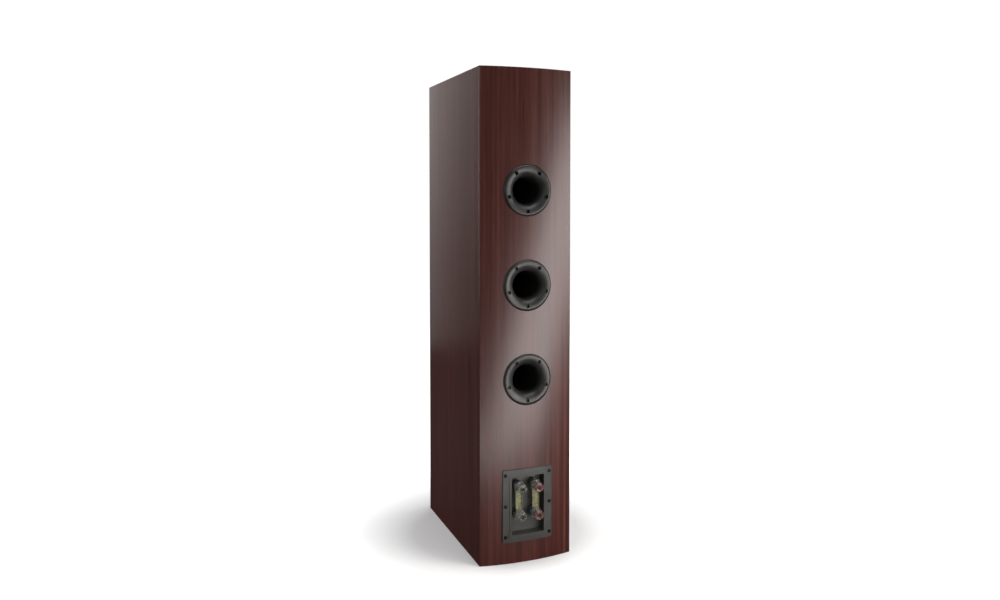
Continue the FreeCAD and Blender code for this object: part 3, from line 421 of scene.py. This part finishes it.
def finished_mesh(name, work, sharp_degrees=35):
    """Turns bmesh work into a mesh that shades smoothly except over sharp edges."""
    bmesh.ops.recalc_face_normals(work, faces=work.faces)
    for edge in work.edges:
        edge.smooth = len(edge.link_faces) == 2 and edge.calc_face_angle() < math.radians(sharp_degrees)
    for face in work.faces:
        face.smooth = True
    mesh = bpy.data.meshes.new(name)
    work.to_mesh(mesh)
    work.free()
    return mesh


def add_lathe(work, outline, centre, steps, start=0.0, sweep=2 * math.pi):
    """Turns a closed outline of (radius, y) points about the line along Y through centre."""
    whole = abs(sweep - 2 * math.pi) < 1e-6
    rings = []
    for n in range(steps if whole else steps + 1):
        angle = start + sweep * n / steps
        rings.append([
            work.verts.new((centre.x + r * math.cos(angle), y, centre.z + r * math.sin(angle)))
            for r, y in outline
        ])
    pairs = list(zip(rings, rings[1:]))
    if whole:
        pairs.append((rings[-1], rings[0]))
    for one, other in pairs:
        for n in range(len(outline)):
            m = (n + 1) % len(outline)
            work.faces.new((one[n], one[m], other[m], other[n]))
    if not whole:
        work.faces.new(rings[0])
        work.faces.new(rings[-1][::-1])


def lathe(name, outline, centre, steps=96, start=0.0, sweep=2 * math.pi):
    work = bmesh.new()
    add_lathe(work, outline, centre, steps, start, sweep)
    return finished_mesh(name, work)


ROLL_STEPS = 16


def roll_outline(inner, outer, face_y, height, skin, foot):
    """Section of a half-roll between two flat feet. It bulges towards -Y."""
    middle_r, roll_r = (inner + outer) / 2, (outer - inner) / 2 - foot
    front = [(inner, face_y)]
    back = [(inner, face_y + skin)]
    for n in range(ROLL_STEPS + 1):
        angle = math.pi * n / ROLL_STEPS
        r = -math.cos(angle)
        lift = math.sin(angle)
        front.append((middle_r + roll_r * r, face_y - height * lift))
        back.append((middle_r + (roll_r - skin) * r, face_y + skin - height * lift))
    front.append((outer, face_y))
    back.append((outer, face_y + skin))
    return front + back[::-1]


# ---------------------------------------------------------------- woofers and tweeter
SURROUND_SECTORS = 16
SURROUND_SKIN = 0.0008
SURROUND_FOOT = 0.0035      # width of the flat glued to the basket or the cone
CONE_LAP = 0.0025           # how far the roll's inner foot lies over the cone
BEAD_STEPS = 10


def add_surround(place):
    """Rubber half-roll in sectors, whose flat feet lie on the basket outside and on the cone inside."""
    node = f"woofer_{place}_surround"
    low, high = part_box(node)
    cone_low, cone_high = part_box(f"woofer_{place}_cone")
    centre = middle(node)
    outer = (high.x - low.x) / 2
    inner = (cone_high.x - cone_low.x) / 2 - CONE_LAP
    face_y = high.y - SURROUND_SKIN
    height = face_y - low.y
    outline = roll_outline(inner, outer, face_y, height, SURROUND_SKIN, SURROUND_FOOT)
    width = 2 * math.pi / SURROUND_SECTORS
    for n in range(SURROUND_SECTORS):
        name = f"surround_{place}_{n + 1:02d}"
        mesh = lathe(name, outline, centre, 8, width * (n - 0.5), width)
        piece = add_piece(name, mesh, "surround_rubber")
        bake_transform(piece)
        if n == 0:
            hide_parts(node)


def add_tweeter_surround():
    """Small roll between the dome and the faceplate. It rides on the dome."""
    low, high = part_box("tweeter_dome")
    centre = middle("tweeter_dome")
    dome_r = (high.x - low.x) / 2
    throat_depth, gap, width, height, skin = 0.0066, 0.0001, 0.0015, 0.0006, 0.0002
    plate_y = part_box("tweeter_faceplate")[0].y + throat_depth
    outline = roll_outline(dome_r + gap, dome_r + width, plate_y, height, skin, skin)
    piece = add_piece("tweeter_surround", lathe("tweeter_surround", outline, centre, 64), "surround_rubber")
    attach(piece, "tweeter_moving")


def add_woofer_glue(place):
    """Bead of adhesive round the foot of the dust cap."""
    low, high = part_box(f"woofer_{place}_dust_cap")
    centre = middle(f"woofer_{place}_dust_cap")
    bead, overhang, sink = 0.0007, 0.0002, 0.0001
    radius = (high.x - low.x) / 2 + overhang
    outline = []
    for n in range(BEAD_STEPS):
        angle = 2 * math.pi * n / BEAD_STEPS
        outline.append((radius + bead * math.cos(angle), high.y - sink + bead * math.sin(angle)))
    name = f"dust_cap_bead_{place}"
    piece = add_piece(name, lathe(name, outline, centre), "dust_cap", LOOKS["surround_rubber"])
    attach(piece, f"woofer_{place}_moving")


# ---------------------------------------------------------------- terminals
CORE_BORE_R = 0.0042
CORE_R = 0.0064
CORE_RIDGE = 0.00022        # height of the knurling either side of CORE_R
CORE_CHAMFER = 0.0006
RIDGE_STEPS = 4             # points round each ridge
CORE_STEPS = 28 * RIDGE_STEPS
SLEEVE_BORE_R, SLEEVE_R = 0.0028, 0.0042
SLEEVE_START, SLEEVE_END = 0.0045, 0.0010    # how far its ends lie inside the cap's tip


def add_cap_core(post):
    """Knurled metal core that shows through a clear cap."""
    node = f"cap_{post}"
    low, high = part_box(node)
    centre = middle(node)
    start_y, end_y = low.y + 0.0008, high.y - 0.0050
    work = bmesh.new()

    def ring(y, radii):
        points = []
        for n, radius in enumerate(radii):
            angle = 2 * math.pi * n / CORE_STEPS
            x, z = centre.x + radius * math.cos(angle), centre.z + radius * math.sin(angle)
            points.append(work.verts.new((x, y, z)))
        return points

    knurl = [CORE_R + CORE_RIDGE * math.cos(2 * math.pi * n / RIDGE_STEPS) for n in range(CORE_STEPS)]
    chamfered = [radius - CORE_CHAMFER for radius in knurl]
    bore = [CORE_BORE_R] * CORE_STEPS
    loops = [
        ring(start_y, chamfered),
        ring(start_y + CORE_CHAMFER, knurl),
        ring(end_y - CORE_CHAMFER, knurl),
        ring(end_y, chamfered),
        ring(end_y, bore),
        ring(start_y, bore),
    ]
    for one, other in zip(loops, loops[1:] + loops[:1]):
        for n in range(CORE_STEPS):
            m = (n + 1) % CORE_STEPS
            work.faces.new((one[n], one[m], other[m], other[n]))
    name = f"cap_core_{post}"
    piece = add_piece(name, finished_mesh(name, work, 50), "gold", NICKEL)
    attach(piece, f"cap_{post}")


def add_plug_sleeve(post):
    """Black sleeve round the plug hole in a cap's tip."""
    node = f"cap_{post}"
    tip_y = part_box(node)[1].y
    start_y, end_y = tip_y - SLEEVE_START, tip_y - SLEEVE_END
    outline = [(SLEEVE_BORE_R, start_y), (SLEEVE_R, start_y), (SLEEVE_R, end_y), (SLEEVE_BORE_R, end_y)]
    name = f"plug_sleeve_{post}"
    piece = add_piece(name, lathe(name, outline, middle(node), 48), "black_plastic")
    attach(piece, f"cap_{post}")


# ---------------------------------------------------------------- grille cloth
def rounded_rectangle(half_w, half_h, radius, corner_steps=8, side_steps=12):
    """Points anticlockwise from the lower right corner."""
    points = []
    corners = [(1, -1, -90), (1, 1, 0), (-1, 1, 90), (-1, -1, 180)]
    for n, (sx, sz, first) in enumerate(corners):
        for step in range(corner_steps + 1):
            angle = math.radians(first + 90 * step / corner_steps)
            x = sx * (half_w - radius) + radius * math.cos(angle)
            z = sz * (half_h - radius) + radius * math.sin(angle)
            points.append((x, z))
        next_x, next_z, turn = corners[(n + 1) % 4]
        angle = math.radians(turn)
        end = (next_x * (half_w - radius) + radius * math.cos(angle),
               next_z * (half_h - radius) + radius * math.sin(angle))
        here = points[-1]
        for step in range(1, side_steps):
            share = step / side_steps
            points.append((here[0] + (end[0] - here[0]) * share, here[1] + (end[1] - here[1]) * share))
    return points


def add_grille_cloth():
    """Cloth stretched over the frame, folded at its edges and turned back down its sides."""
    low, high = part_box("grille_cloth")
    centre = (low + high) / 2
    half_w, half_h = (high.x - low.x) / 2, (high.z - low.z) / 2
    skirt = high.y - low.y
    fold, corner, tightest = 0.0022, 0.008, 0.002
    work = bmesh.new()
    rings = []
    # inset from the edge and depth behind the face, from the face round the fold to the hem
    profile = [(0.012, 0.0), (0.006, 0.0)]
    for angle in (0, 0.4, 0.8, 1.2, math.pi / 2):
        profile.append((fold * (1 - math.sin(angle)), fold * (1 - math.cos(angle))))
    profile.append((0.0, skirt))
    for inset, depth in profile:
        radius = max(corner - inset, tightest)
        outline = rounded_rectangle(half_w - inset, half_h - inset, radius)
        rings.append([work.verts.new((centre.x + x, low.y + depth, centre.z + z)) for x, z in outline])
    for one, other in zip(rings, rings[1:]):
        for n in range(len(one)):
            m = (n + 1) % len(one)
            work.faces.new((one[n], one[m], other[m], other[n]))
    work.faces.new(rings[0])
    piece = add_piece("grille_knit_cloth", finished_mesh("grille_knit_cloth", work, 80), "grille_fabric")
    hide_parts("grille_cloth")
    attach(piece, "grille")


# ---------------------------------------------------------------- damping wadding
def add_wadding():
    """Crowned felt pads glued to the inner walls, in the space of the plain CAD pads."""
    work = bmesh.new()
    for low, high in split_boxes(frame["nodes"]["damping_pads"].data):
        add_pad(work, low, high)
    piece = add_piece("wadding", finished_mesh("wadding", work, 70), "felt")
    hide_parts("damping_pads")
    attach(piece, "cabinet")


def split_boxes(mesh):
    """Lowest and highest corner of each separate solid in a mesh."""
    work = bmesh.new()
    work.from_mesh(mesh)
    bmesh.ops.remove_doubles(work, verts=work.verts, dist=1e-6)
    left, boxes = set(work.verts), []
    while left:
        seen, waiting = set(), [left.pop()]
        while waiting:
            vert = waiting.pop()
            seen.add(vert)
            for edge in vert.link_edges:
                other = edge.other_vert(vert)
                if other in left:
                    left.discard(other)
                    waiting.append(other)
        points = [v.co for v in seen]
        boxes.append((
            Vector(min(p[k] for p in points) for k in range(3)),
            Vector(max(p[k] for p in points) for k in range(3)),
        ))
    work.free()
    return sorted(boxes, key=lambda b: (round(b[0].z, 4), b[0].x))


PAD_STEPS = 14
PAD_RIM = 0.45              # thickness at a pad's edge, as a share of its middle


def add_pad(work, low, high):
    """One pad: flat against its wall, with a crowned face that thins towards its edges."""
    steps = PAD_STEPS
    wall_x, face_x = (low.x, high.x) if abs(low.x) > abs(high.x) else (high.x, low.x)
    grids = []
    for crowned in (False, True):
        rows = []
        for i in range(steps + 1):
            row = []
            for j in range(steps + 1):
                u, v = i / steps, j / steps
                edge = min(u, 1 - u, v, 1 - v) * 2
                fullness = PAD_RIM + (1 - PAD_RIM) * (1 - (1 - edge) ** 3)
                x = wall_x + (face_x - wall_x) * (fullness if crowned else 0)
                y, z = low.y + (high.y - low.y) * u, low.z + (high.z - low.z) * v
                row.append(work.verts.new((x, y, z)))
            rows.append(row)
        for a, b in zip(rows, rows[1:]):
            for n in range(steps):
                work.faces.new((a[n], a[n + 1], b[n + 1], b[n]))
        grids.append(rows)
    border = []
    for rows in grids:
        bottom = [rows[i][0] for i in range(steps)]
        right = [rows[steps][j] for j in range(steps)]
        top = [rows[i][steps] for i in range(steps, 0, -1)]
        left = [rows[0][j] for j in range(steps, 0, -1)]
        border.append(bottom + right + top + left)
    count = len(border[0])
    for n in range(count):
        m = (n + 1) % count
        work.faces.new((border[0][n], border[0][m], border[1][m], border[1][n]))


# ---------------------------------------------------------------- stage
WORLD_LIGHT = 0.05          # strength of the white surroundings as a light
WORLD_SEEN = 1.02           # and as the camera sees them
FLOOR_SIZE = 30
FLOOR_BOUNCE = (0.06, 0.06, 0.06)    # floor colour for light and reflections
FLOOR_GLOW = 0.05           # floor's own glow near the object, as seen; kept low so the floor darkens round the object: painted shade
GLOW_START, GLOW_FULL = 0.20, 0.52   # distances over which the floor's glow rises from that painted shade to white

CAMERA_FROM_CORNER = Vector((0.6160, 1.7020, 0.8051))
CAMERA_YAW = 0.3723
CAMERA_PITCH = 0.0340
LENS_MM = 29.96
SENSOR_HEIGHT_MM = 21.6
SENSOR_WIDTH_MM = 28.4
FRAME_SHIFT = -0.1167

WHITE = (1.0, 1.0, 1.0)
WARM = (1.0, 0.965, 0.945)
# name, place, aim, size, watts, turn about its aim in degrees, colour
LIGHTS = (
    ("key", (-0.49, 1.08, 0.32), (0, 0.2, 0.43), (0.46, 2.1), 21.5, -45, WARM),
    ("side", (0.30, -1.0, 1.08), (0.11, -0.1, 0.9), (0.12, 1.7), 1.15, -8, WARM),
    ("low", (0.12, 0.75, 0.10), (0, 0.19, 0.25), (0.5, 0.12), 0.6, 0, WARM),
    ("fill", (2.5, -0.6, 1.0), (0.1, 0, 0.5), (1.4, 1.4), 38, 0, WHITE),
    ("front", (1.6, 2.3, 1.6), (0, 0.2, 0.5), (1.6, 1.6), 6, 0, WHITE),
    ("grille", (-1.3, -2.5, 1.3), (0, -0.2, 0.6), (1.4, 1.4), 14, 0, WHITE),
    ("over", (-0.5, 0.4, 3.2), (-0.2, 0.4, 0), (2.4, 2.4), 70, 0, WHITE),
)


def add_area_light(name, place, aim, size, power, turn, colour):
    """A softbox that lights the object without showing in the picture."""
    lamp = bpy.data.lights.new(name, "AREA")
    lamp.shape = "RECTANGLE"
    lamp.size, lamp.size_y = size
    lamp.energy = power
    lamp.color = colour
    holder = bpy.data.objects.new(name, lamp)
    bpy.context.scene.collection.objects.link(holder)
    holder.location = place
    facing = (Vector(aim) - Vector(place)).to_track_quat("-Z", "Y")
    holder.rotation_euler = (facing @ Quaternion((0, 0, 1), math.radians(turn))).to_euler()
    holder.visible_camera = False


def add_floor():
    """Pale floor that glows to the camera, dim near the object and white away from it: painted shade round
    the object's foot, added to the lamps' real shadow. To light and reflections it is dark.
    """
    work = bmesh.new()
    bmesh.ops.create_grid(work, x_segments=2, y_segments=2, size=FLOOR_SIZE)
    mesh = finished_mesh("floor", work)
    floor = bpy.data.objects.new("floor", mesh)
    bpy.context.scene.collection.objects.link(floor)
    look = Look("floor", Roughness=0.9, Specular_IOR_Level=0.0)
    seen = look.add("ShaderNodeLightPath").outputs["Is Camera Ray"]
    cloud = look.noise(0.6, detail=2)
    paper = look.ramp(cloud, [(0.2, (0.80, 0.80, 0.80)), (0.8, (0.82, 0.82, 0.82))])
    look.colour(look.mix(seen, FLOOR_BOUNCE, paper))
    away = look.add("ShaderNodeVectorMath", operation="LENGTH")
    look.link(look.place(), away.inputs[0])
    # Glow dim near the object and white away from it: painted shade round the object's foot.
    white = look.grey(away.outputs["Value"], FLOOR_GLOW, 1.0, GLOW_START, GLOW_FULL)
    look.link(look.arithmetic("MULTIPLY", seen, white), look.shader.inputs["Emission Strength"])
    look.shader.inputs["Emission Color"].default_value = (1, 1, 1, 1)
    floor.data.materials.append(look.material)


def add_world():
    """White surroundings, far weaker as a light than the camera sees them."""
    world = bpy.data.worlds.new("studio")
    bpy.context.scene.world = world
    world.use_nodes = True
    tree = world.node_tree
    seen = tree.nodes.new("ShaderNodeLightPath")
    shade = tree.nodes.new("ShaderNodeMapRange")
    shade.inputs["To Min"].default_value = WORLD_LIGHT
    shade.inputs["To Max"].default_value = WORLD_SEEN
    tree.links.new(seen.outputs["Is Camera Ray"], shade.inputs["Value"])
    tree.links.new(shade.outputs["Result"], tree.nodes["Background"].inputs["Strength"])
    tree.nodes["Background"].inputs["Color"].default_value = (1, 1, 1, 1)


def add_camera():
    """Camera behind the speaker, off its rear +X edge, tilted a little downwards.

    The sensor's height sets the picture. Its width only sets how far back the other views stand.
    """
    low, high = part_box("right_side_panel")
    corner = Vector((high.x, high.y, 0))
    data = bpy.data.cameras.new("camera")
    data.lens = LENS_MM
    data.sensor_fit = "VERTICAL"
    data.sensor_height = SENSOR_HEIGHT_MM
    data.sensor_width = SENSOR_WIDTH_MM
    data.shift_y = FRAME_SHIFT
    camera = bpy.data.objects.new("camera", data)
    bpy.context.scene.collection.objects.link(camera)
    camera.location = corner + CAMERA_FROM_CORNER
    heading = Vector((-math.sin(CAMERA_YAW), -math.cos(CAMERA_YAW), -math.tan(CAMERA_PITCH)))
    camera.rotation_euler = heading.to_track_quat("-Z", "Y").to_euler()
    bpy.context.scene.camera = camera


# ---------------------------------------------------------------- everything in order
add_camera()
add_world()
for light in LIGHTS:
    add_area_light(*light)
add_floor()
dress_cad()
for place in PLACES:
    add_surround(place)
    add_woofer_glue(place)
add_tweeter_surround()
for post in POSTS:
    add_cap_core(post)
    add_plug_sleeve(post)
add_grille_cloth()
add_wadding()
bpy.context.scene.view_settings.view_transform = "Standard"
